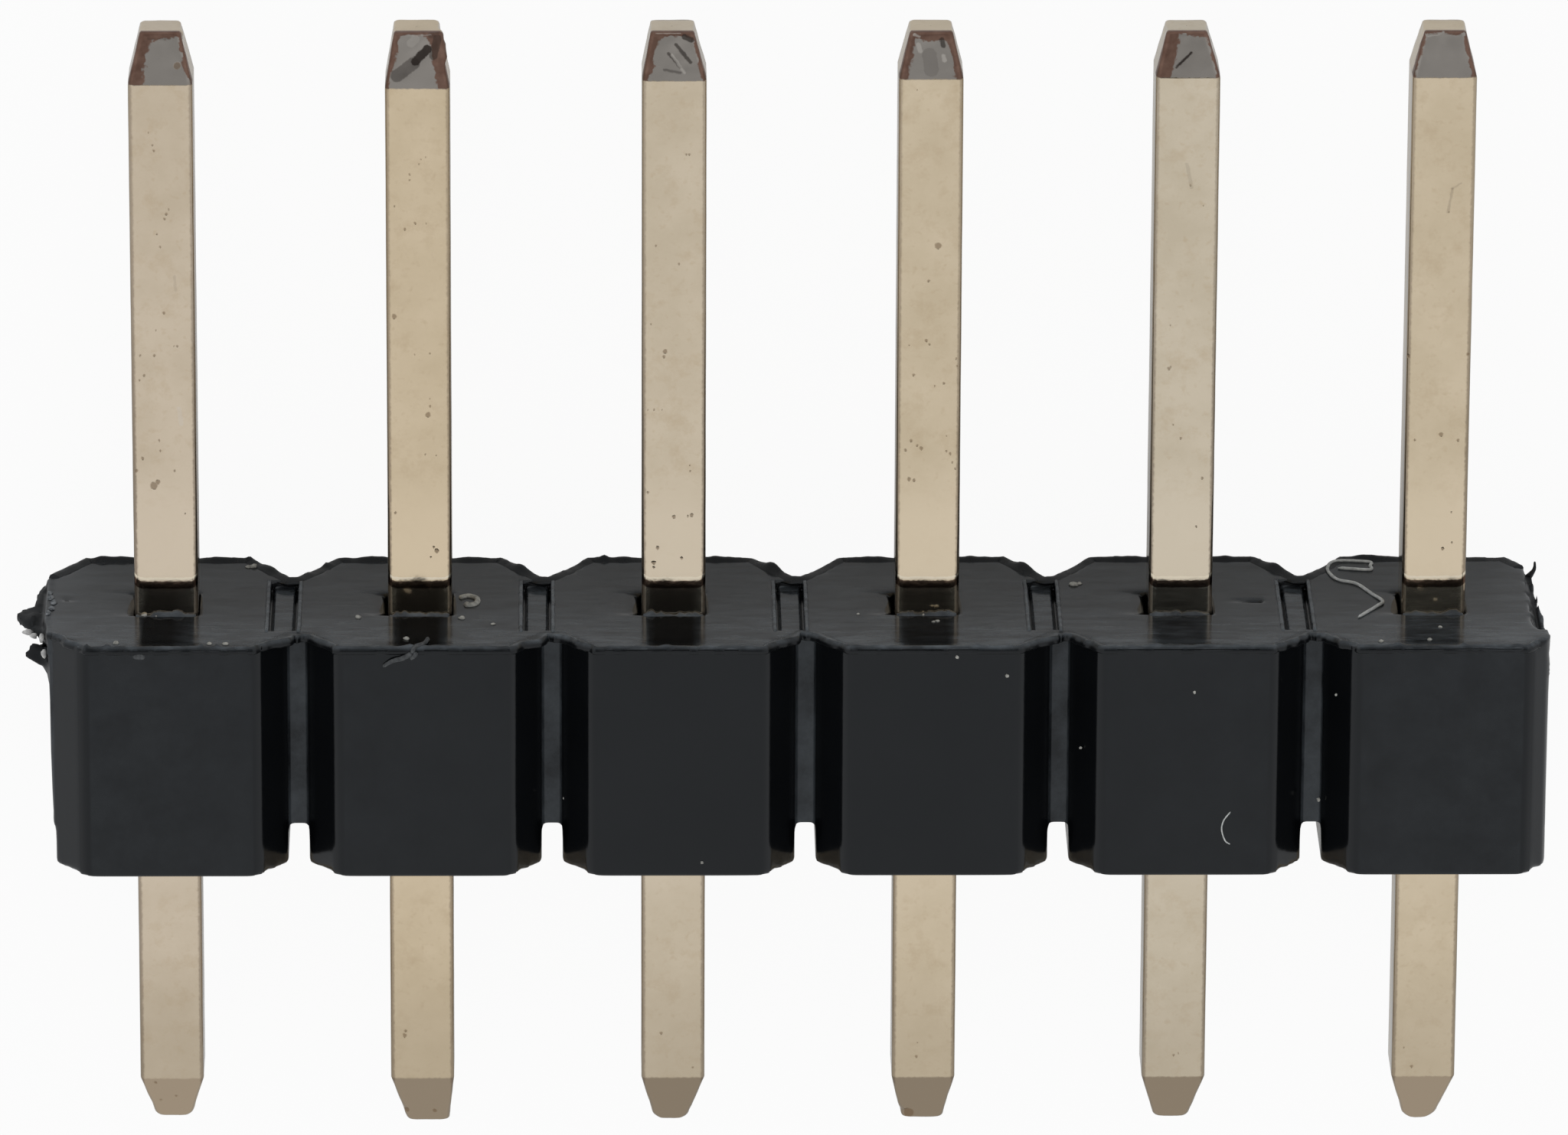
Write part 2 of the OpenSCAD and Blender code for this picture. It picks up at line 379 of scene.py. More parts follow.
def thread(path, radius, places=8, taper=0.0):
    """A thin round strand along a smoothed path, which may taper toward its end."""
    path = np.array(path, float)
    ends = np.concatenate([2 * path[:1] - path[1:2], path, 2 * path[-1:] - path[-2:-1]])
    line = []
    for a, b, c, d in zip(ends, ends[1:], ends[2:], ends[3:]):
        for t in np.arange(0, 1, 0.125):
            bend = (2 * a - 5 * b + 4 * c - d) * t ** 2 + (3 * b - a - 3 * c + d) * t ** 3
            line.append(0.5 * (2 * b + (c - a) * t + bend))
    line = np.array(line + [path[-1]])
    along = np.gradient(line, axis=0)
    along /= np.linalg.norm(along, axis=1)[:, None]
    side = np.cross(along, [0.17, 0.93, 0.31])
    side /= np.linalg.norm(side, axis=1)[:, None]
    other = np.cross(along, side)
    radius = radius * (1 - taper * np.linspace(0, 1, len(line)))
    rings = []
    for n in range(places):
        angle = 2 * math.pi * n / places
        swell = radius * (1 + 0.25 * rough(*line.T, 0.08, 90 + n))
        rings.append(line + (math.cos(angle) * side + math.sin(angle) * other) * swell[:, None])
    rings = np.stack(rings, 1)
    for end in (0, -1):
        rings[end] = line[end] + (rings[end] - line[end]) * 0.4
    return tube(rings)


def join(parts):
    """Several lists of points and faces as one."""
    points, faces = [], []
    start = 0
    for part_points, part_faces in parts:
        points.append(np.asarray(part_points))
        faces.extend([tuple(int(n) + start for n in face) for face in part_faces])
        start += len(part_points)
    return np.concatenate(points), faces


def make_object(name, points, faces, material):
    """A smooth-shaded mesh object from points in millimetres."""
    mesh = bpy.data.meshes.new(name)
    mesh.from_pydata((np.asarray(points) * MM).tolist(), [], [list(map(int, f)) for f in faces])
    mesh.polygons.foreach_set("use_smooth", [True] * len(mesh.polygons))
    mesh.materials.append(material)
    mesh.update()
    piece = bpy.data.objects.new(name, mesh)
    bpy.context.scene.collection.objects.link(piece)
    return piece


# The grid of the moulding's mesh along each axis: start, stop, finest and coarsest step, and their growth
GRID = [(-7.93, 7.6, 0.025, 0.25, 1.2), (-0.05, 2.68, 0.02, 0.4, 0.9), (-1.34, 1.34, 0.026, 0.2, 1.0)]


def insulator_marks():
    """The places along each axis where the insulator's mesh has to be fine."""
    x_marks = [-7.84, -7.76, -7.69, -7.6, -7.5, 7.33, 7.4, 7.46, DENTS[0][0]]
    for k in range(PIN_COUNT + 1):
        front, back, hollow = (notch_x(k) + shift for shift in (FRONT.shift, BACK.shift, POCKET_SHIFT))
        widths = [(front, FRONT.mouth / 2), (front, FRONT.strip / 2), (front, SLOT_WIDTH / 2)]
        widths += [(back, BACK.mouth / 2), (back, BACK.strip / 2)]
        widths += [(hollow, POCKET_WIDTH / 2), (hollow, POCKET_WIDTH / 2 - POCKET_WALL)]
        for middle, half in widths:
            x_marks += [middle - half, middle + half]
    for px in PIN_X:
        x_marks += [px - (PIN_HALF + HOLE_GAP), px + (PIN_HALF + HOLE_GAP)]
    y_marks = [0, SLOT_HEIGHT, 2.05, BODY_HEIGHT - LEDGE_HEIGHT, BODY_HEIGHT - POCKET_DEPTH]
    y_marks += [BODY_HEIGHT, BODY_HEIGHT + 0.03]
    z_marks = [-HALF_DEPTH, WEB_BACK, WEB_BACK + POCKET_LIP, -PIN_HALF - HOLE_GAP, PIN_HALF + HOLE_GAP]
    z_marks += [WEB_FRONT - POCKET_LIP, WEB_FRONT, HALF_DEPTH, DENTS[0][1]]
    return x_marks, y_marks, z_marks


def insulator_piece(material):
    """The moulded strip with its holes, slots, pockets, flash and torn ends."""
    axes = zip(insulator_marks(), GRID)
    xs, ys, zs = (spread_lines(start, stop, marks, *steps) for marks, (start, stop, *steps) in axes)
    d = insulator_distance(xs[:, None, None], ys[None, :, None], zs[None, None, :])
    body = surface_net(xs, ys, zs, d)
    # Each raised line of moulding with how pale its crest is
    raised = [(back_flash(), 0.01), (front_burr(), 0.55), (right_spike(), 0.0)]
    raised += [(burr, 0.5) for burr in seat_burrs()]
    # The pocket rims are real raised rims, but their crests are made nearly fully pale as a painted
    # highlight along the pocket borders.
    raised += [(rim, 0.9) for rim in pocket_rims()]
    points, faces = join([body] + [line for line, share in raised])
    pale = [pale_places(body[0])]
    torn = [torn_places(body[0])]
    for (line_points, line_faces), share in raised:
        spot = line_points.reshape(-1, 3)
        grit = rough(*spot.T, 0.09, 19)
        crest = np.clip((spot[:, 1] - BODY_HEIGHT + 0.013) / 0.016, 0, 1)
        pale.append(np.clip(share * (1 + 0.8 * grit) * crest, 0, 1))
        torn.append(np.full(len(spot), 0.3))
    piece = make_object("insulator_moulding", points, faces, material)
    set_numbers(piece, "pale", np.concatenate(pale))
    set_numbers(piece, "torn", np.concatenate(torn))
    return piece


def set_numbers(piece, name, values):
    """A number for each point of a mesh, for its material to read."""
    field = piece.data.attributes.new(name, "FLOAT", "POINT")
    field.data.foreach_set("value", values.astype(np.float32))


# How worn the mating side is, from back to front, and how pale it is in front of each pin, which is painted
# shade
TOP_WEAR_Z = [-0.3, 0.25, 0.55, 0.9, 1.05, 1.27]
TOP_WEAR = [0.2, 0.23, 0.37, 0.43, 0.53, 0.56]
SEAT_PAINTED_SHADE = [0.05, 0.02, 0.02, 0.1, 0.28, 0.4]
SEAT_REACH = 0.265


def pale_places(points):
    """How worn the moulding looks: paler on its notch floors, pocket floors and edges than on its faces,
    and darker in front of each pin as painted shade.
    """
    x, y, z = points.T
    cell = from_plane(x)
    pale = np.zeros(len(points))
    strip = (np.abs(cell - FRONT.shift) < FRONT.strip / 2 + 0.02) & (np.abs(z - WEB_FRONT) < 0.03)
    pale[strip & (y < BODY_HEIGHT - 0.05)] = 0.24
    sunk = (y < BODY_HEIGHT - 0.8 * POCKET_DEPTH) & (y > BODY_HEIGHT - 1.3 * POCKET_DEPTH)
    sunk &= (np.abs(cell - POCKET_SHIFT) < POCKET_WIDTH / 2 - POCKET_WALL) & (z < WEB_FRONT - 0.06)
    pale[sunk] = 0.5
    top = y > BODY_HEIGHT - 0.012
    worn = np.interp(z, TOP_WEAR_Z, TOP_WEAR) * (1 + 0.2 * rough(x, 0, z, 0.35, 22))
    # Painted shade: in front of each pin the mating side is made less pale, where the pin keeps the lit
    # surroundings out of its gloss.
    for px, painted_shade in zip(PIN_X, SEAT_PAINTED_SHADE):
        share = np.clip((SEAT_REACH - np.abs(x - px)) / 0.03, 0, 1) * (z > PIN_HALF)
        worn = worn + share * (painted_shade - worn)
    pale[top] = worn[top]
    front = z > HALF_DEPTH - 0.01
    pale[front] = 0.06 * (x[front] / 7) ** 2
    return pale


def torn_places(points):
    """Where the row was snapped, the moulding is rough and matt."""
    x, y, z = points.T
    left = np.clip((LOWER_TEAR_X + 0.05 - x) / 0.05, 0, 1) * 0.45
    ledge = np.clip((-7.58 - x) / 0.03, 0, 1)
    right = np.clip((x - 7.33) / 0.03, 0, 1) * np.clip((y - 2.2) / 0.1, 0, 1) * (z < 0.7)
    return np.maximum(np.maximum(left, ledge), right)


def lumps(x, places):
    """Rounded rises along a line: middle, reach and height of each."""
    rise = 0 * x
    for middle, reach, height in places:
        rise = rise + height * np.exp(-(((x - middle) / reach) ** 2))
    return rise


# Where the back flash stands higher: middle, reach and height of each rise
FLASH_RISES = [
    (-7.02, 0.08, 0.02), (5.8, 0.22, 0.02), (-4.79, 0.03, 0.035), (-1.96, 0.035, 0.03), (-5.55, 0.04, 0.02),
]


def back_flash():
    """The thin ragged flash left standing along the back edge by the mould's parting line."""
    x, z = edge_path(-1, -7.56, 7.36)
    heights = 0.017 + 0.013 * rough(x, 0, z, 0.3, 11) + 0.009 * rough(x, 0, z, 0.07, 15)
    rises = list(FLASH_RISES)
    for k in range(1, PIN_COUNT):
        rises.append((notch_x(k) - 0.24, 0.07, 0.045 + 0.012 * math.sin(5 * k)))
        rises.append((notch_x(k) + 0.22, 0.12, -0.02))
    for px in PIN_X[:5]:
        rises += [(px - 0.48, 0.14, 0.018), (px + 0.48, 0.14, 0.018)]
    heights = np.maximum(heights + lumps(x, rises), 0.001)
    profile = [(0.16, -0.012, 0), (0.1, 0, 0.12), (0.065, 0, 0.7), (0.03, 0, 1)]
    profile += [(0.008, 0, 0.9), (-0.008, -0.02, 0.3), (-0.006, -0.06, 0), (0.08, -0.06, 0)]
    return ridge(x, z, 1, heights, profile)


# How far the front burr hangs over a notch: places from the notch's middle and the overhang there
LIP_PLACES = [-0.4, -0.26, -0.13, -0.05, 0.07, 0.13, 0.25, 0.36]
LIP_REACH = [0, 0.05, 0.13, 0.09, 0.12, 0.06, 0.03, 0]

# Where the front edge is nicked: middle, reach and height of each rise
NICKS = [
    (-7.13, 0.03, 0.03), (-6.92, 0.03, 0.02), (-5.98, 0.02, 0.025), (-5.82, 0.02, 0.025),
    (-1.36, 0.05, 0.02), (-3.9, 0.04, 0.02), (3.52, 0.06, 0.02), (1.75, 0.03, 0.02),
    (5.95, 0.05, 0.03), (6.6, 0.03, 0.02),
]


def front_burr():
    """The low burr along the front edge, higher where it is nicked. It hangs over the notches."""
    x, z = edge_path(1, -7.5, 7.4)
    heights = 0.013 + 0.01 * rough(x, 0, z, 0.25, 12) + 0.008 * rough(x, 0, z, 0.06, 16)
    heights = np.maximum(heights + lumps(x, NICKS), 0.001)
    inner = (x > notch_x(0.5)) & (x < notch_x(PIN_COUNT - 0.5))
    lip = np.interp(from_plane(x, FRONT.shift), LIP_PLACES, LIP_REACH)
    lip = lip * (0.85 + 0.35 * rough(x, 0, 0, 0.4, 13))
    overhang = 0.004 + 0.012 * rough(x, 0, z, 0.12, 17) + inner * lip
    overhang = overhang + 0.05 * rough(x, 0, 0, 0.1, 18) * (z < HALF_DEPTH - 0.01)
    profile = [(0.085, -0.006, 0), (0.058, 0, 0.4), (0.04, 0, 1), (0.026, 0, 0.9), (0.014, -0.008, 0.4)]
    profile += [(0.004, -0.034, 0.1), (-0.003, -0.056, 0), (0.006, -0.07, 0), (0.1, -0.06, 0)]
    return ridge(x, z, -1, heights, profile, overhang)


def seat_burrs():
    """The ragged lip that each pin pushed up in front of its seat."""
    burrs = []
    for i, px in enumerate(PIN_X):
        x = np.arange(px - PIN_HALF + 0.015, px + PIN_HALF - 0.01, 0.02)
        z = PIN_HALF + 0.008 + 0.012 * rough(x, 0, 0, 0.1, 55 + i)
        taper = np.clip((PIN_HALF - np.abs(x - px)) / 0.08, 0, 1)
        heights = 0.024 + 0.034 * rough(x, 0, 0, 0.16, 50 + i) + 0.02 * rough(x, 0, 0, 0.045, 70 + i)
        heights = np.maximum(heights * taper, 0.002)
        profile = [(0, -0.03, 0), (0, 0, 1), (0.012, 0, 1), (0.028, 0, 0.7), (0.05, -0.002, 0.15)]
        burrs.append(ridge(x, z, 1, heights, profile + [(0.06, -0.03, 0)]))
    return burrs


def pocket_rims():
    """The thin raised rims along both sides of each pocket."""
    profile = [
        (-0.03, -0.006, 0), (-0.014, 0, 0.8), (0, 0, 1), (0.012, 0, 0.7), (0.02, -0.01, 0), (0, -0.03, 0),
    ]
    rims = []
    for k in range(1, PIN_COUNT):
        for side in (-1, 1):
            z = np.arange(WEB_BACK + 0.06, WEB_FRONT - 0.02, 0.03)
            wall = notch_x(k) + POCKET_SHIFT + side * (POCKET_WIDTH / 2 + 0.012)
            x = wall + 0.004 * rough(0, 0, z, 0.2, 80 + k)
            fade = np.clip(np.minimum((z - z[0]) / 0.08, (z[-1] - z) / 0.04), 0, 1)
            heights = np.maximum((0.018 + 0.012 * rough(x, 0, z, 0.15, 84 + k)) * fade, 0.001)
            rims.append(ridge(x, z, side, heights, profile))
    return rims


def right_spike():
    """The thin splinter that stands up at the back of the right end."""
    path = [(7.37, 2.38, -0.88), (7.42, 2.44, -0.88), (7.445, 2.5, -0.88), (7.448, 2.565, -0.88)]
    return thread(path, 0.033, taper=0.7)


# Pins

def square_section(half, corner, flat_steps=12, corner_steps=5):
    """Places round a rounded square of a given half side."""
    core = half - corner
    side = [(-core + 2 * core * n / flat_steps, half) for n in range(flat_steps + 1)]
    for n in range(1, corner_steps):
        angle = math.pi / 2 * (1 - n / corner_steps)
        side.append((core + corner * math.cos(angle), core + corner * math.sin(angle)))
    places = []
    for turn in range(4):
        c, s = math.cos(turn * math.pi / 2), math.sin(turn * math.pi / 2)
        places += [(u * c + v * s, v * c - u * s) for u, v in side]
    return np.array(places)


# Each tip: the bevel's length, the flat's width, its lean along the row, and the tail's length and rounding
TOP_BEVEL = [MATING_TAPER, 0.56, 0.48, 0.465, 0.45, 0.45]
TOP_FLAT = [0.4, 0.44, 0.43, 0.42, 0.4, 0.41]
TOP_LEAN = [0.0, -0.01, -0.02, 0.0, -0.012, 0.0]
TAIL_FLAT = [0.36, 0.42, 0.33, 0.42, 0.35, 0.3]
TAIL_LEAN = [0.012, 0.054, -0.023, -0.01, -0.015, -0.03]
TAIL_MORE = [0.0, 0.04, 0.05, 0.02, 0.03, 0.06]
TAIL_ROUND = [0.06, 0.03, 0.075, 0.035, 0.05, 0.085]

# Lumps and dents at each pin's tips: place across, along and from the middle to the front, reach and rise
TIP_WEAR = [
    [(0.17, 8.24, 0.24, 0.05, -0.012), (0.21, 8.53, 0.1, 0.04, 0.03), (-0.12, -2.84, 0.28, 0.04, -0.012)],
    [
        (0.27, 8.42, 0.14, 0.07, 0.07), (0.26, 8.32, 0.2, 0.05, 0.05), (0.22, 8.53, 0.12, 0.06, 0.05),
        (0.08, 8.4, 0.24, 0.05, -0.02), (-0.02, 8.3, 0.26, 0.05, -0.02), (-0.12, 8.2, 0.28, 0.05, -0.016),
        (0.24, 8.22, 0.27, 0.03, 0.014), (0.2, -3.0, 0.15, 0.06, 0.02), (-0.17, -2.95, 0.22, 0.05, -0.014),
    ],
    [(0.02, 8.36, 0.24, 0.04, -0.012), (0.12, 8.24, 0.26, 0.04, -0.012), (0.22, -2.52, 0.3, 0.05, -0.02)],
    [(0.1, 8.48, 0.22, 0.04, -0.01), (-0.2, -2.98, 0.2, 0.05, -0.03), (0.22, -2.8, 0.2, 0.04, -0.014)],
    [(-0.05, 8.29, 0.25, 0.05, -0.012), (0.24, -2.62, 0.2, 0.06, 0.012)],
    [(0.1, 8.5, 0.2, 0.06, -0.01), (-0.05, -3.0, 0.2, 0.08, -0.01)],
]


def pin_rings(i, bottom):
    """The outline of one pin at each height from its tail to its mating end, with both bevels."""
    top_start = PIN_TOP - TOP_BEVEL[i]
    tail_start = PIN_BOTTOM + TAIL_TAPER
    marks = [bottom, tail_start, 0, BODY_HEIGHT, top_start, PIN_TOP]
    ys = spread_lines(bottom, PIN_TOP, marks, 0.012, 0.12, 0.25)
    rings = []
    for y in [*ys[ys < PIN_TOP], PIN_TOP]:
        up = max(0.0, (y - top_start) / TOP_BEVEL[i])
        down = max(0.0, (tail_start - y) / (tail_start - bottom))
        half = PIN_HALF
        deep = 1.0
        if up:
            half = PIN_HALF + (TOP_FLAT[i] / 2 - PIN_HALF) * up - rounding(PIN_TOP - y, 0.018)
        if down:
            half = PIN_HALF + (TAIL_FLAT[i] / 2 - PIN_HALF) * down
            deep = half - rounding(y - bottom, 0.02)
            half -= rounding(y - bottom, TAIL_ROUND[i])
            deep /= half
        corner = PIN_CORNER + 0.02 * down
        across, front = square_section(half, min(corner, half * 0.6)).T
        middle = PIN_X[i] + TOP_LEAN[i] * up + TAIL_LEAN[i] * down
        rings.append(np.column_stack([across + middle, np.full(len(across), y), front * deep]))
    return rings


# How large the rings are that close a pin's tips
CAP_SHARES = [0.02, 0.35, 0.7]


def pin_piece(i, material):
    """One square pin with rounded edges and a tapered tip at both ends."""
    rings = pin_rings(i, PIN_BOTTOM - TAIL_MORE[i])
    tail_cap = [shrink(rings[0], share) for share in CAP_SHARES]
    top_cap = [shrink(rings[-1], share) for share in reversed(CAP_SHARES)]
    rings = tail_cap + rings + top_cap
    points = np.concatenate(rings)
    # The places run the other way round than a tube's, so each face is turned over
    faces = [(a, d, c, b) for a, b, c, d in skin_faces(len(rings), len(rings[0]))]
    piece = make_object(f"pin_{i + 1}_plated", worn_pin(points, i), faces, material)
    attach(piece, "root")
    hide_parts(f"pin_{i + 1}")
    return piece


def worn_pin(points, i):
    """A pin's points with slight waves, rougher at its tips, and with the tips' lumps and dents."""
    wave = 0.0022 * rough(*points.T, 0.35, 60 + i)
    from_end = np.minimum(PIN_TOP - points[:, 1], points[:, 1] - PIN_BOTTOM)
    at_tip = np.clip(1 - from_end / 0.5, 0, 1)
    wave = wave + 0.012 * at_tip * (rough(*points.T, 0.12, 66 + i) - 0.1)
    for across, along, front, reach, rise in TIP_WEAR[i]:
        away = np.linalg.norm(points - (PIN_X[i] + across, along, front), axis=1)
        wave = wave + rise * np.exp(-((away / reach) ** 2))
    out = (points - (PIN_X[i], 0, 0)) * (1, 0, 1)
    length = np.maximum(np.linalg.norm(out, axis=1), 1e-6)
    return points + out / length[:, None] * wave[:, None]


def rounding(distance, radius):
    """How far a rounded end draws in at a distance from the end."""
    left = max(radius - distance, 0.0)
    return radius - math.sqrt(max(radius * radius - left * left, 0.0))


def shrink(ring, share):
    """A ring drawn in toward its middle."""
    middle = ring.mean(axis=0)
    return middle + (ring - middle) * share


# Lint and dust on the moulding, and pale chips as painted glints: places along the row, along the pins and
# toward the front

DUST_LEVEL = BODY_HEIGHT + 0.004
CRUMB_SCALE = 1.3

# Places of the white thread on the mating side, along the row and toward the front
THREAD = [
    (5.46, -0.95), (5.77, -0.9), (5.79, -1.02), (5.78, -1.13), (5.45, -1.15), (5.36, -0.98), (5.37, -0.79),
    (5.45, -0.61), (5.62, -0.5), (5.75, -0.24), (5.86, 0.0), (5.79, 0.15), (5.59, 0.46),
]
FIBRE_Z = 1.276
FIBRE = [(x, y, FIBRE_Z) for x, y in ((4.3, 0.7), (4.23, 0.6), (4.215, 0.5), (4.25, 0.39), (4.3, 0.35))]
CURL = [(-4.17, 2.27, 1.285), (-4.08, 2.33, 1.29), (-3.98, 2.36, 1.29), (-3.88, 2.41, 1.29)]
CURL_KNOT = [(-3.9, 2.36, 1.29), (-3.86, 2.385, 1.3), (-3.84, 2.43, 1.295)]
CURL_BRANCH = [(-3.88, 2.41, 1.29), (-3.85, 2.48, 1.27), (-3.76, 2.485, 1.19), (-3.72, 2.485, 1.06)]
SHAVING = [
    (-3.42, -0.14), (-3.34, -0.19), (-3.26, -0.15), (-3.235, -0.06), (-3.26, 0.04),
    (-3.33, 0.075), (-3.35, 0.04),
]
HAIR = [(1.24, 0.12), (1.245, 0.28), (1.23, 0.38)]

# Crumbs on the mating side, with half their size, and crumbs on the front
TOP_CRUMBS = [
    (-4.43, 0.4, 0.026), (-3.39, 0.43, 0.025), (-3.08, 0.6, 0.018), (-3.94, 1.01, 0.024),
    (-5.51, -1.05, 0.034), (-5.56, -1.04, 0.022), (1.37, 0.53, 0.018), (1.33, 0.55, 0.013),
    (0.58, 0.33, 0.013), (2.77, -0.5, 0.034), (2.83, -0.53, 0.02), (6.23, 0.2, 0.024),
    (5.78, 1.12, 0.02), (6.27, 1.07, 0.018), (6.4, 0.72, 0.016), (-6.83, 1.12, 0.026),
    (-5.9, 1.15, 0.022), (-5.74, 1.15, 0.022), (-6.57, 0.34, 0.022), (-6.45, 0.36, 0.014),
]
FRONT_CRUMBS = [
    (1.55, 2.36, 1.274, 0.014), (-2.36, 0.7, 0.88, 0.02), (-2.69, 1.97, 0.88, 0.014),
    (-0.99, 0.16, 1.274, 0.012), (3.92, 1.98, 1.274, 0.012), (5.2, 0.68, 0.9, 0.016),
    (-0.2, 0.3, 0.95, 0.015), (2.8, 1.3, 1.05, 0.012), (0.3, 1.85, 1.02, 0.012),
    (5.35, 1.86, 1.03, 0.012), (-4.75, 1.5, 1.05, 0.012), (2.05, 2.16, 1.274, 0.013),
    (-2.73, 0.3, 0.97, 0.03),
]

# Pale chips on the splinters, which are a painted highlight standing for their glints, and grey ones along
# the torn crest: place, and half the size each way
PAINTED_GLINTS = [
    ((-7.74, 2.27, 0.3), (0.05, 0.03, 0.03)), ((-7.68, 2.26, 0.38), (0.035, 0.03, 0.03)),
    ((-7.59, 2.28, 0.5), (0.03, 0.05, 0.03)), ((-7.57, 2.16, 0.62), (0.035, 0.04, 0.03)),
]
CREST_CHIPS = [
    ((-7.535, DUST_LEVEL, -0.3), (0.025, 0.014, 0.05)), ((-7.525, DUST_LEVEL, -0.16), (0.035, 0.02, 0.06)),
    ((-7.49, DUST_LEVEL, -0.02), (0.03, 0.02, 0.07)), ((-7.505, DUST_LEVEL, 0.13), (0.035, 0.018, 0.06)),
    ((-7.535, DUST_LEVEL, 0.27), (0.03, 0.016, 0.06)),
]


def ridden(name, parts, material):
    """A piece that rides with the strip: dirt, or chips that are painted glints."""
    points, faces = join(parts)
    piece = make_object(name, points, faces, material)
    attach(piece, "root")
    return piece


def lying(places, level):
    """Places at one level over the moulding."""
    return [(x, level, z) for x, z in places]


def lint():
    """A white thread on the last cell, a fine hooked fibre on the fifth, a scuffed curl on the second."""
    white = dirt_and_glint_material("white_lint", (0.46, 0.48, 0.48), (0.66, 0.68, 0.67))
    ridden("lint_thread", [thread(lying(THREAD, BODY_HEIGHT + 0.012), 0.0165)], white)
    ridden("front_fibre", [thread(FIBRE, 0.007)], white)
    scuffed = dirt_and_glint_material("scuffed_plastic", (0.045, 0.049, 0.053), (0.09, 0.096, 0.1))
    scrape = grain_of_dust((-6.6, 2.37, HALF_DEPTH), (0.06, 0.028, 0.008), 240)
    curls = [thread(CURL, 0.018, taper=-0.5), thread(CURL_KNOT, 0.022), thread(CURL_BRANCH, 0.022)]
    ridden("edge_curl", curls + [scrape], scuffed)


def grain_of_dust(place, size, seed):
    """One small irregular crumb."""
    turn = math.pi * (0.06 + 0.88 * np.arange(7) / 6)[:, None]
    spin = 2 * math.pi * np.arange(8) / 8
    rings = [np.sin(turn) * np.cos(spin), np.cos(turn) + 0 * spin, np.sin(turn) * np.sin(spin)]
    rings = np.stack(rings, -1)
    swell = 1 + 0.5 * rough(rings[..., 0] + seed, rings[..., 1], rings[..., 2], 0.9, seed)
    return tube(np.array(place) + rings * swell[..., None] * np.array(size))


def dust():
    """Chips at the torn left end, the pale ones there painted glints, and pale crumbs, a shaving and a hair
    on the moulding.
    """
    # Painted highlight: the pale chips on the splinters stand for the glints along their lower edges.
    bright = [grain_of_dust(place, size, 300 + n) for n, (place, size) in enumerate(PAINTED_GLINTS)]
    ridden("painted_glint_chips", bright, dirt_and_glint_material("painted_glint", (0.5, 0.5, 0.5), (0.8, 0.8, 0.78)))
    grey = [grain_of_dust(place, size, 320 + n) for n, (place, size) in enumerate(CREST_CHIPS)]
    ridden("torn_crest", grey, dirt_and_glint_material("torn_plastic", (0.09, 0.1, 0.11), (0.3, 0.32, 0.34)))
    crumbs = [((x, DUST_LEVEL, z), size, (1, 0.6, 1)) for x, z, size in TOP_CRUMBS]
    crumbs += [((x, y, z), size, (1, 1, 0.5)) for x, y, z, size in FRONT_CRUMBS]
    parts = []
    for n, (place, size, shape) in enumerate(crumbs):
        parts.append(grain_of_dust(place, CRUMB_SCALE * size * np.array(shape), 200 + n))
    parts.append(thread(lying(SHAVING, DUST_LEVEL), 0.027, taper=-0.25))
    parts.append(thread(lying(HAIR, DUST_LEVEL), 0.012))
    ridden("dust_crumbs", parts, dirt_and_glint_material("pale_dust", (0.28, 0.28, 0.26), (0.52, 0.52, 0.48)))


# Materials

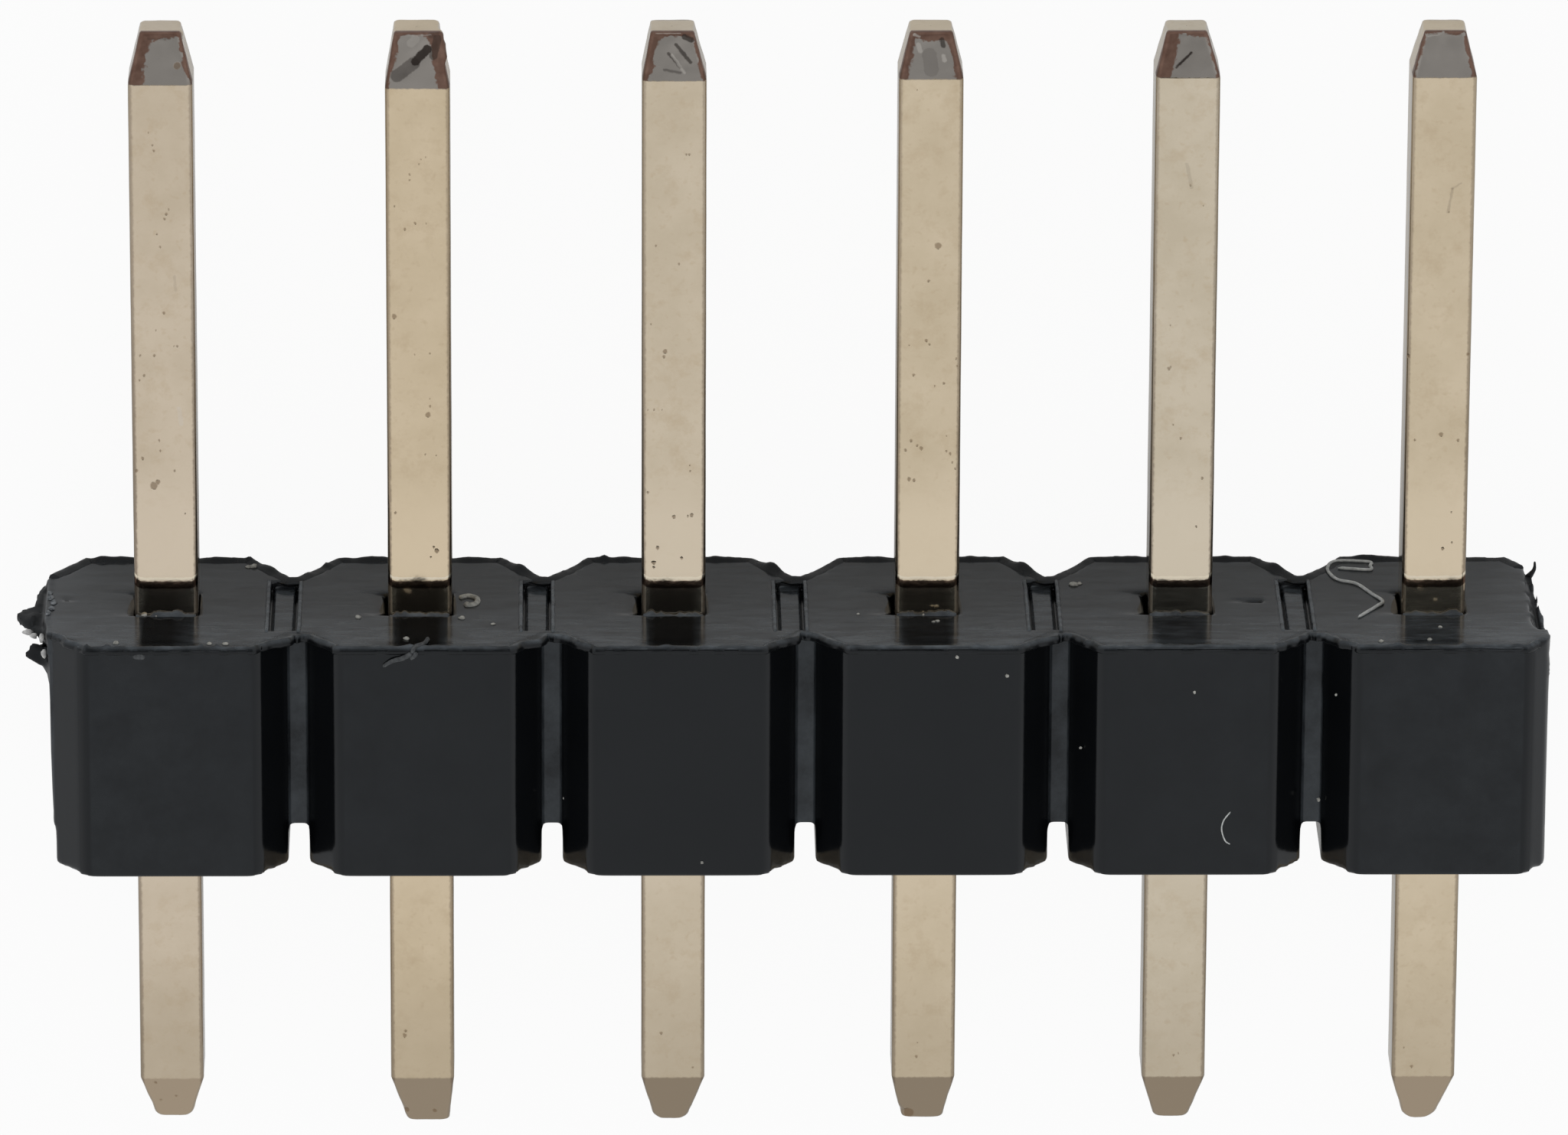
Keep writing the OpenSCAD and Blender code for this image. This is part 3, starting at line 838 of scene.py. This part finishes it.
class Nodes:
    """The nodes of a material or world. An input is a number, a colour, a direction or a node's output."""

    def __init__(self, owner):
        owner.use_nodes = True
        self.tree = owner.node_tree
        self.tree.nodes.clear()

    def add(self, kind, inputs=(), **settings):
        """A node of one kind with its inputs filled, in turn or by name."""
        made = self.tree.nodes.new("ShaderNode" + kind)
        for key, value in settings.items():
            setattr(made, key, value)
        for key, value in inputs.items() if isinstance(inputs, dict) else enumerate(inputs):
            socket = made.inputs[key]
            if isinstance(value, bpy.types.NodeSocket):
                self.tree.links.new(value, socket)
            elif socket.type == "RGBA":
                socket.default_value = (*value, 1)
            else:
                socket.default_value = value
        return made

    def place(self):
        return self.add("TexCoord").outputs["Object"]

    def noise(self, scale, detail, blur=0.5, place=None, output="Fac"):
        inputs = {"Vector": place or self.place(), "Scale": scale, "Detail": detail, "Roughness": blur}
        return self.add("TexNoise", inputs).outputs[output]

    def math(self, operation, *values, clamp=False):
        return self.add("Math", values, operation=operation, use_clamp=clamp).outputs[0]

    def vector(self, operation, *values, output="Vector"):
        return self.add("VectorMath", values, operation=operation).outputs[output]

    def minus(self, first, second):
        return self.math("SUBTRACT", first, second)

    def times(self, first, *others):
        for other in others:
            first = self.math("MULTIPLY", first, other)
        return first

    def largest(self, first, *others):
        for other in others:
            first = self.math("MAXIMUM", first, other)
        return first

    def graded(self, value, low, high, start, stop, kind="LINEAR"):
        """From start to stop as a value goes from low to high."""
        return self.add("MapRange", (value, low, high, start, stop), interpolation_type=kind).outputs[0]

    def stepped(self, value, low, high, start=0.0, stop=1.0):
        """The same with soft ends, where low and high are in millimetres."""
        return self.graded(value, low * MM, high * MM, start, stop, "SMOOTHSTEP")

    def ramp(self, value, low, dark, high, light):
        """A colour that goes from dark to light as a value goes from low to high."""
        made = self.add("ValToRGB", [value])
        for end, position, colour in zip(made.color_ramp.elements, (low, high), (dark, light)):
            end.position = position
            end.color = (*colour, 1)
        return made.outputs["Color"]

    def mixed(self, share, under, over):
        """One colour with a share of another over it."""
        return self.add("Mix", {0: share, 6: under, 7: over}, data_type="RGBA").outputs[2]

    def bump(self, height, strength, distance, under=None, **settings):
        inputs = {"Height": height, "Strength": strength, "Distance": distance}
        if under:
            inputs["Normal"] = under
        return self.add("Bump", inputs, **settings).outputs["Normal"]

    def surface(self, kind, inputs, target="OutputMaterial"):
        """The shader that the surface has."""
        self.add(target, {"Surface": self.add(kind, inputs).outputs[0]})


def dirt_and_glint_material(name, dark, light):
    """Matt lint or dust, or pale chips painted as glints, mottled between two colours."""
    material = bpy.data.materials.new(name)
    nodes = Nodes(material)
    colour = nodes.ramp(nodes.noise(30000.0, 3.0), 0.35, dark, 0.65, light)
    nodes.surface("BsdfPrincipled", {"Base Color": colour, "Roughness": 0.9})
    return material


def plastic_material():
    """Glossy black moulding: greyer where it is worn and on the pocket rims' painted highlight, less grey
    in the painted shade in front of the pins, and matt where it is torn.
    """
    material = bpy.data.materials.new("moulded_plastic_black")
    nodes = Nodes(material)
    black = nodes.ramp(nodes.noise(900.0, 4.0), 0.3, (0.0014, 0.0018, 0.0024), 0.7, (0.003, 0.0035, 0.0042))
    streak = nodes.noise(2200.0, 5.0, 0.65, nodes.vector("MULTIPLY", nodes.place(), (1.0, 1.0, 5.0)))
    pale = nodes.add("Attribute", attribute_name="pale").outputs["Fac"]
    share = nodes.math("MULTIPLY", pale, nodes.graded(streak, 0.3, 0.7, 0.2, 1.8), clamp=True)
    fine = nodes.noise(9000.0, 4.0)
    torn = nodes.add("Attribute", attribute_name="torn").outputs["Fac"]
    gloss = nodes.graded(fine, 0.0, 1.0, 0.1, 0.2)
    nodes.surface("BsdfPrincipled", {
        "Base Color": nodes.mixed(share, black, (0.097, 0.112, 0.126)),
        "Roughness": nodes.math("MULTIPLY_ADD", torn, 0.45, gloss),
        "IOR": 1.44,
        "Specular Tint": (0.9, 0.95, 1.0),
        "Normal": nodes.bump(fine, 0.25, 0.000003),
    })
    return material


# Pits on the front of each pin: place across and along in hundredths of a millimetre, reach in thousandths
PITS = [
    [(-7, 737, 20), (-8, 743, 17), (-12, 756, 15), (3, 666, 20), (5, 671, 22), (7, 676, 16),
     (-5, 650, 16), (-2, 636, 18), (1, 567, 22), (-7, 549, 14), (-9, 522, 22), (-23, 522, 18),
     (14, 532, 18), (11, 532, 14), (-19, 501, 22), (-24, 496, 18), (-5, 432, 18), (-4, 421, 20),
     (-22, 413, 22), (-28, 400, 24), (-11, 384, 45), (-7, 388, 32), (10, 400, 18), (20, 354, 15),
     (17, 824, 45), (-12, -284, 28), (4, -279, 22), (-17, -262, 24)],
    [(-24, 563, 32), (-8, 706, 16), (-8, 712, 18), (1, 723, 16), (3, 728, 14), (8, 730, 14),
     (-13, 655, 20), (-3, 661, 20), (8, 661, 14), (-23, 679, 16), (9, 459, 34), (11, 468, 20),
     (11, 476, 14), (6, 417, 16), (17, 416, 14), (11, 524, 16), (-4, 523, 14), (-24, 355, 18),
     (17, 314, 28), (14, 318, 18), (11, 307, 14), (-18, -210, 30), (-17, -205, 22), (-17, -296, 40),
     (12, -296, 35)],
    [(12, 733, 18), (15, 733, 20), (-18, 637, 18), (5, 618, 20), (-9, 526, 30), (-10, 520, 22),
     (-20, 464, 18), (-12, 464, 14), (-26, 464, 14), (16, 399, 18), (16, 405, 14), (0, 350, 26),
     (18, 352, 26), (14, 351, 18), (-16, 317, 22), (-20, 301, 26), (-20, 296, 18), (8, 306, 20),
     (-26, 376, 20), (-23, 555, 16), (-12, -208, 24), (20, -246, 20)],
    [(8, 637, 42), (-1, 600, 20), (-3, 537, 22), (0, 533, 20), (-15, 501, 22), (15, 492, 20),
     (6, 489, 16), (-20, 532, 14), (-7, 423, 26), (-11, 426, 20), (-17, 431, 22), (-19, 390, 28),
     (-14, 389, 24), (18, 420, 18), (22, 417, 22), (24, 408, 18), (27, 401, 18), (-23, 421, 22),
     (27, 518, 18), (28, 510, 18), (18, 436, 14), (-14, 800, 12), (-7, -234, 24), (-6, -219, 14),
     (-14, -300, 60)],
    [(-15, 507, 24), (-13, 509, 18), (20, 391, 22), (15, 339, 18), (17, 679, 14), (-10, 448, 16),
     (-2, 433, 20), (-14, 553, 14), (4, 700, 16), (0, -233, 20), (5, -231, 16)],
    [(4, 437, 30), (21, 431, 22), (-22, 431, 18), (8, 315, 22), (17, 321, 16), (16, 354, 14),
     (29, 522, 26), (-31, 520, 30), (-12, -246, 22), (7, 672, 14), (-20, -225, 16)],
]

# Scratches and smears: both ends, reach and how dark each is, from -1 for pale to 1 for black
SCRATCHES = [
    [((0.12, 6.05), (0.13, 5.9), 0.02, 0.12), ((0.15, 4.66), (0.17, 4.5), 0.03, -0.25),
     ((-0.12, 8.5), (0.1, 8.5), 0.02, 0.5)],
    [((-0.2, 8.14), (-0.04, 8.26), 0.07, 0.55), ((-0.02, 8.28), (0.1, 8.4), 0.05, 0.95),
     ((0.16, 8.34), (0.2, 8.5), 0.05, 0.6), ((-0.06, 8.46), (-0.02, 8.5), 0.05, -0.2),
     ((0.14, 8.54), (0.21, 8.58), 0.04, 0.4), ((-0.18, 8.53), (0.14, 8.54), 0.014, -0.5)],
    [((-0.06, 8.36), (0.06, 8.22), 0.022, 0.7), ((0.02, 8.44), (0.16, 8.27), 0.026, 0.75),
     ((-0.02, 8.34), (0.1, 8.17), 0.022, -0.45), ((-0.1, 8.2), (0.06, 8.17), 0.022, 0.5),
     ((0.1, 8.52), (0.17, 8.49), 0.035, 0.8), ((-0.18, 8.555), (0.06, 8.555), 0.012, -0.5)],
    [((-0.13, 8.44), (-0.11, 8.38), 0.03, -0.4), ((0.12, 8.33), (0.13, 8.29), 0.028, -0.5),
     ((0.1, 8.49), (0.12, 8.43), 0.03, 0.75), ((-0.02, 8.34), (0.0, 8.2), 0.08, 0.2),
     ((-0.17, 8.54), (-0.12, 8.52), 0.02, -0.5)],
    [((-0.12, 8.22), (0.03, 8.36), 0.02, 0.95), ((0.0, 7.22), (0.05, 6.98), 0.025, 0.14)],
    [((0.1, 6.96), (0.06, 6.72), 0.02, 0.22), ((0.1, 6.96), (0.18, 7.02), 0.016, 0.18),
     ((-0.17, 8.52), (0.1, 8.56), 0.014, -0.5)],
]

# Where the brown border shows on the bevel at each mating end: how wide it is on the left, right and top
BROWN_BORDER = [
    (0.11, 0.02, 0.045), (0.025, 0.09, 0.02), (0.065, 0.035, 0.03),
    (0.075, 0.055, 0.06), (0.13, 0.02, 0.015), (0.02, 0.035, 0.012),
]
PIN_TINT = [
    (1.0, 1.0, 1.04), (1.03, 1.0, 0.95), (1.0, 1.01, 1.04),
    (1.03, 1.02, 1.0), (1.0, 1.03, 1.08), (1.03, 1.02, 1.0),
]
TAIL_SHADE = [0.74, 0.6, 0.53, 0.54, 0.56, 0.7]

# Painted reflection across the foot of each pin: a brown line where the moulding's mirror image ends, and a
# pale line over it
# as a painted highlight: height over the moulding, half its width and its colour. Both rise at their ends.
FOOT_REFLECTION_LINES = [(0.318, 0.035, (0.07, 0.032, 0.02)), (0.386, 0.01, (0.96, 0.86, 0.68))]
FOOT_REFLECTION_CURVE = 5.0

# How far the borders of marks and colours waver
WOBBLE = 0.022


def front_of_pin(along):
    """How far in front of the middle of a pin its face lies."""
    up = max(0.0, (along - PIN_TOP + MATING_TAPER) / MATING_TAPER)
    down = max(0.0, (PIN_BOTTOM + TAIL_TAPER - along) / TAIL_TAPER)
    return PIN_HALF - 0.11 * up - 0.12 * down


def pin_place(nodes, i):
    """The place on a pin from the middle of its board end, with a slight wobble."""
    grit = nodes.noise(26000.0, 2.0, output="Color")
    wavering = nodes.vector("MULTIPLY_ADD", grit, (WOBBLE * MM, WOBBLE * MM, 0.0), nodes.place())
    return nodes.vector("SUBTRACT", wavering, ((PIN_X[i] + WOBBLE / 2) * MM, WOBBLE / 2 * MM, 0.0))


def spots(nodes, local, marks):
    """How deep a place lies in the deepest of several round marks, in metres."""
    inside = []
    for x, y, reach in marks:
        middle = (x * MM, y * MM, front_of_pin(y) * MM)
        away = nodes.vector("DISTANCE", local, middle, output="Value")
        inside.append(nodes.minus(reach * MM, away))
    return nodes.largest(*inside)


def face_colour(nodes, i, along, cloud, fine):
    """Pale gold with fine stains, lighter near the seat as painted light, darker down the tail as painted
    shade, and darkest on its bevel.
    """
    def tinted(*colour):
        return tuple(part * share for part, share in zip(colour, PIN_TINT[i]))

    colour = nodes.ramp(cloud, 0.35, tinted(0.73, 0.615, 0.445), 0.65, tinted(0.81, 0.69, 0.515))
    stain = nodes.graded(nodes.noise(3600.0, 4.0, 0.7), 0.52, 0.52 + 1 / 3, 0.0, 1.0)
    speck = nodes.graded(fine, 0.6, 0.6 + 1 / 3, 0.0, 1.0)
    colour = nodes.mixed(nodes.times(nodes.largest(stain, speck), 0.65), colour, (0.62, 0.48, 0.31))
    # Painted light: the face is made paler toward the seat.
    painted_foot_light = nodes.times(nodes.stepped(along, 4.2, 3.4), nodes.stepped(along, -0.9, 0.0), 0.8)
    colour = nodes.mixed(painted_foot_light, colour, tinted(0.87, 0.745, 0.565))
    # Painted shade: the face is made darker down the tail.
    colour = nodes.mixed(nodes.stepped(along, -0.9, -2.4, 0.0, 0.38), colour, (0.5, 0.42, 0.3))
    tail_start = PIN_BOTTOM + TAIL_TAPER
    on_tail = nodes.stepped(along, tail_start + 0.012, tail_start - 0.012)
    return nodes.mixed(on_tail, colour, tuple(TAIL_SHADE[i] * part for part in (0.66, 0.53, 0.385)))


def bevel_colour(nodes, i, across, along, on_bevel, cloud, colour):
    """Bare grey metal on the mating bevel with a ragged brown border."""
    bare = nodes.mixed(cloud, (0.33, 0.305, 0.275), (0.46, 0.43, 0.4))
    colour = nodes.mixed(on_bevel, colour, bare)
    patch = nodes.noise(7000.0, 3.0, 0.6)
    ragged = nodes.times(nodes.minus(patch, 0.5), 0.16 * MM)
    lean = nodes.times(nodes.minus(along, (PIN_TOP - TOP_BEVEL[i]) * MM), 0.23)
    inward = nodes.minus(nodes.minus(PIN_HALF * MM, lean), ragged)
    left, right, top = BROWN_BORDER[i]
    from_left = nodes.math("ADD", inward, across)
    from_right = nodes.minus(inward, across)
    from_top = nodes.minus(nodes.minus((PIN_TOP - 0.004) * MM, along), ragged)
    border = nodes.largest(
        nodes.stepped(from_left, left + 0.02, left),
        nodes.stepped(from_right, right + 0.02, right),
        nodes.stepped(from_top, top + 0.015, top),
    )
    brown = nodes.mixed(patch, (0.1, 0.045, 0.032), (0.34, 0.22, 0.17))
    return nodes.mixed(nodes.times(border, on_bevel), colour, brown)


def marks_along(start, stop, reach):
    """A row of overlapping round marks from one place to another."""
    steps = max(1, math.ceil(math.dist(start, stop) / (0.6 * reach)))
    return [(*(a + (b - a) * n / steps for a, b in zip(start, stop)), reach) for n in range(steps + 1)]


def scratched(nodes, i, local, colour):
    """The colour with the pin's scratches: the dark ones first, then the pale ones, faint to strong."""
    for sign, tint in ((1, (0.05, 0.04, 0.035)), (-1, (0.8, 0.76, 0.7))):
        for strength in sorted({abs(dark) for *line, dark in SCRATCHES[i] if dark * sign > 0}):
            marks = []
            for *line, dark in SCRATCHES[i]:
                if dark == sign * strength:
                    marks += marks_along(*line)
            share = nodes.times(nodes.stepped(spots(nodes, local, marks), 0.0, 0.014), strength)
            colour = nodes.mixed(share, colour, tint)
    return colour


def edge_share(nodes, across, along, front):
    """How brown a place is for its nearness to the edges of the pin's front."""
    out = nodes.math("ADD", nodes.math("ABSOLUTE", across), nodes.times(front, 0.12))
    edge = nodes.stepped(out, PIN_HALF - 0.012, PIN_HALF + 0.016)
    worn_up = nodes.stepped(along, 7.5, 3.0, 0.4, 0.66)
    worn_down = nodes.stepped(along, 0.0, 2.0, 0.77, 1.0)
    return nodes.times(edge, nodes.stepped(front, -0.05, 0.12), worn_up, worn_down)


def foot_reflection_painted(nodes, across, along, front, colour):
    """The colour with the painted reflection across the foot of the pin's front: a brown line where the
    moulding's mirror image ends and a pale painted highlight over it.
    """
    beyond = nodes.minus(nodes.math("ABSOLUTE", nodes.times(across, 1 / MM)), 0.22)
    beyond = nodes.largest(beyond, 0.0)
    height = nodes.minus(nodes.minus(along, BODY_HEIGHT * MM), nodes.times(beyond, beyond, FOOT_REFLECTION_CURVE * MM))
    on_front = nodes.stepped(front, 0.24, 0.3)
    # Painted reflection: the brown line marks where the moulding's mirror image ends, and the pale line is
    # a painted highlight above it.
    for level, half, tint in FOOT_REFLECTION_LINES:
        off = nodes.math("ABSOLUTE", nodes.minus(height, level * MM))
        line = nodes.times(nodes.stepped(off, half + 0.008, half), on_front, 0.88)
        colour = nodes.mixed(line, colour, tint)
    return colour


def plating_material(i):
    """Worn flash plating: brown at its edges, pitted on its faces, with bare metal on its mating bevel."""
    material = bpy.data.materials.new(f"pin_plating_{i + 1}")
    nodes = Nodes(material)
    cloud = nodes.noise(1400.0, 5.0, 0.6)
    fine = nodes.noise(13000.0, 2.0)
    local = pin_place(nodes, i)
    across, along, front = nodes.add("SeparateXYZ", [local]).outputs
    bevel_start = PIN_TOP - TOP_BEVEL[i]
    on_bevel = nodes.stepped(along, bevel_start + 0.004, bevel_start + 0.02)
    on_bevel = nodes.times(on_bevel, nodes.stepped(front, 0.12, 0.17))
    pits = [(x / 100, y / 100, reach / 1000) for x, y, reach in PITS[i]]
    pitted = nodes.stepped(spots(nodes, local, pits), 0.0, 0.016)

    colour = face_colour(nodes, i, along, cloud, fine)
    colour = bevel_colour(nodes, i, across, along, on_bevel, cloud, colour)
    colour = scratched(nodes, i, local, colour)
    colour = nodes.mixed(edge_share(nodes, across, along, front), colour, (0.12, 0.08, 0.055))
    colour = nodes.mixed(nodes.times(pitted, 0.55), colour, (0.24, 0.15, 0.08))
    colour = foot_reflection_painted(nodes, across, along, front, colour)

    gloss = nodes.graded(cloud, 0.0, 1.0, 0.05, 0.12)
    dull = nodes.largest(nodes.times(on_bevel, 0.36), nodes.times(pitted, 0.4))
    relief = nodes.bump(fine, 0.2, 0.000003)
    nodes.surface("BsdfPrincipled", {
        "Base Color": colour,
        "Metallic": 1.0,
        "Roughness": nodes.math("ADD", gloss, dull),
        "Normal": nodes.bump(pitted, 0.5, 0.000008, relief, invert=True),
    })
    return material


# Floor, light and camera

# The tent's brightness, where 1 is white, and the dark opening: its direction and its size in degrees
TENT_LEVEL = 0.67
LENS_SIDE = (0.0, 0.35, 0.937)
OPENING_CORE = 8.0
OPENING_EDGE = 19.0

# The camera's focal length and place in millimetres, and its turns in degrees, in their order
CAMERA_LENS = 315.0
CAMERA_PLACE = (-2.2676, 51.059, 128.9695)
CAMERA_TURNS = [(-20.50, "X"), (-0.877, "Y"), (-0.071, "Z")]


def pale_floor():
    """A plain pale floor that keeps the strip's shadow."""
    reach = 600.0
    corners = [(x * reach, y * reach, FLOOR) for x, y in ((-1, -1), (1, -1), (1, 1), (-1, 1))]
    material = bpy.data.materials.new("pale_floor")
    nodes = Nodes(material)
    matt = nodes.add("BsdfDiffuse", {"Color": (0.74, 0.75, 0.76)}).outputs[0]
    glow = nodes.add("Emission", {"Color": (1, 1, 1), "Strength": 1.0}).outputs[0]
    path = nodes.add("LightPath").outputs
    mirrored = nodes.times(path["Is Glossy Ray"], 0.12)
    share = nodes.math("MULTIPLY_ADD", path["Is Camera Ray"], 0.94, mirrored)
    nodes.surface("MixShader", (share, matt, glow))
    ground = make_object("floor", corners, [(0, 1, 2, 3)], material)


def studio_world():
    """An even white tent with one dark opening for the lens. The camera sees plain white."""
    world = bpy.data.worlds.new("studio")
    bpy.context.scene.world = world
    nodes = Nodes(world)
    place = nodes.add("TexCoord").outputs["Generated"]
    toward = nodes.vector("DOT_PRODUCT", place, LENS_SIDE, output="Value")
    edge, core = (math.cos(math.radians(size)) for size in (OPENING_EDGE, OPENING_CORE))
    opening = nodes.graded(toward, edge, core, TENT_LEVEL, 0.02, "SMOOTHSTEP")
    seen = nodes.add("LightPath").outputs["Is Camera Ray"]
    strength = nodes.add("Mix", {0: seen, 2: opening, 3: 1.0}, data_type="FLOAT").outputs[0]
    nodes.surface("Background", {"Color": (1, 1, 1), "Strength": strength}, "OutputWorld")


def soft_box():
    """A large soft lamp overhead, which gives the strip its shadow and isn't mirrored in it."""
    size = 0.5
    face_brightness = 0.7
    lamp = bpy.data.lights.new("soft_box", "AREA")
    lamp.size = size
    lamp.energy = face_brightness * math.pi * size * size
    holder = bpy.data.objects.new("soft_box", lamp)
    bpy.context.scene.collection.objects.link(holder)
    place = Vector((-0.15, -0.2, 0.7))
    holder.location = place
    holder.rotation_euler = (-place).to_track_quat("-Z", "Y").to_euler()
    holder.visible_glossy = False


def camera():
    """The viewpoint: in front of the mating side, looking down on the row."""
    lens = bpy.data.cameras.new("camera")
    lens.sensor_width = 36.0
    lens.lens = CAMERA_LENS
    lens.clip_start = 0.01
    lens.clip_end = 10.0
    holder = bpy.data.objects.new("camera", lens)
    bpy.context.scene.collection.objects.link(holder)
    turn = Matrix.Identity(4)
    for angle, axis in CAMERA_TURNS:
        turn = turn @ Matrix.Rotation(math.radians(angle), 4, axis)
    holder.matrix_world = Matrix.Translation(Vector(CAMERA_PLACE) * MM) @ turn
    bpy.context.scene.camera = holder


def main():
    """Dress the strip, then set up its floor, light and camera."""
    body = insulator_piece(plastic_material())
    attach(body, "root")
    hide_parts("insulator")
    for i in range(PIN_COUNT):
        pin_piece(i, plating_material(i))
    lint()
    dust()
    pale_floor()
    studio_world()
    soft_box()
    camera()
    bpy.context.scene.view_settings.view_transform = "Standard"


main()
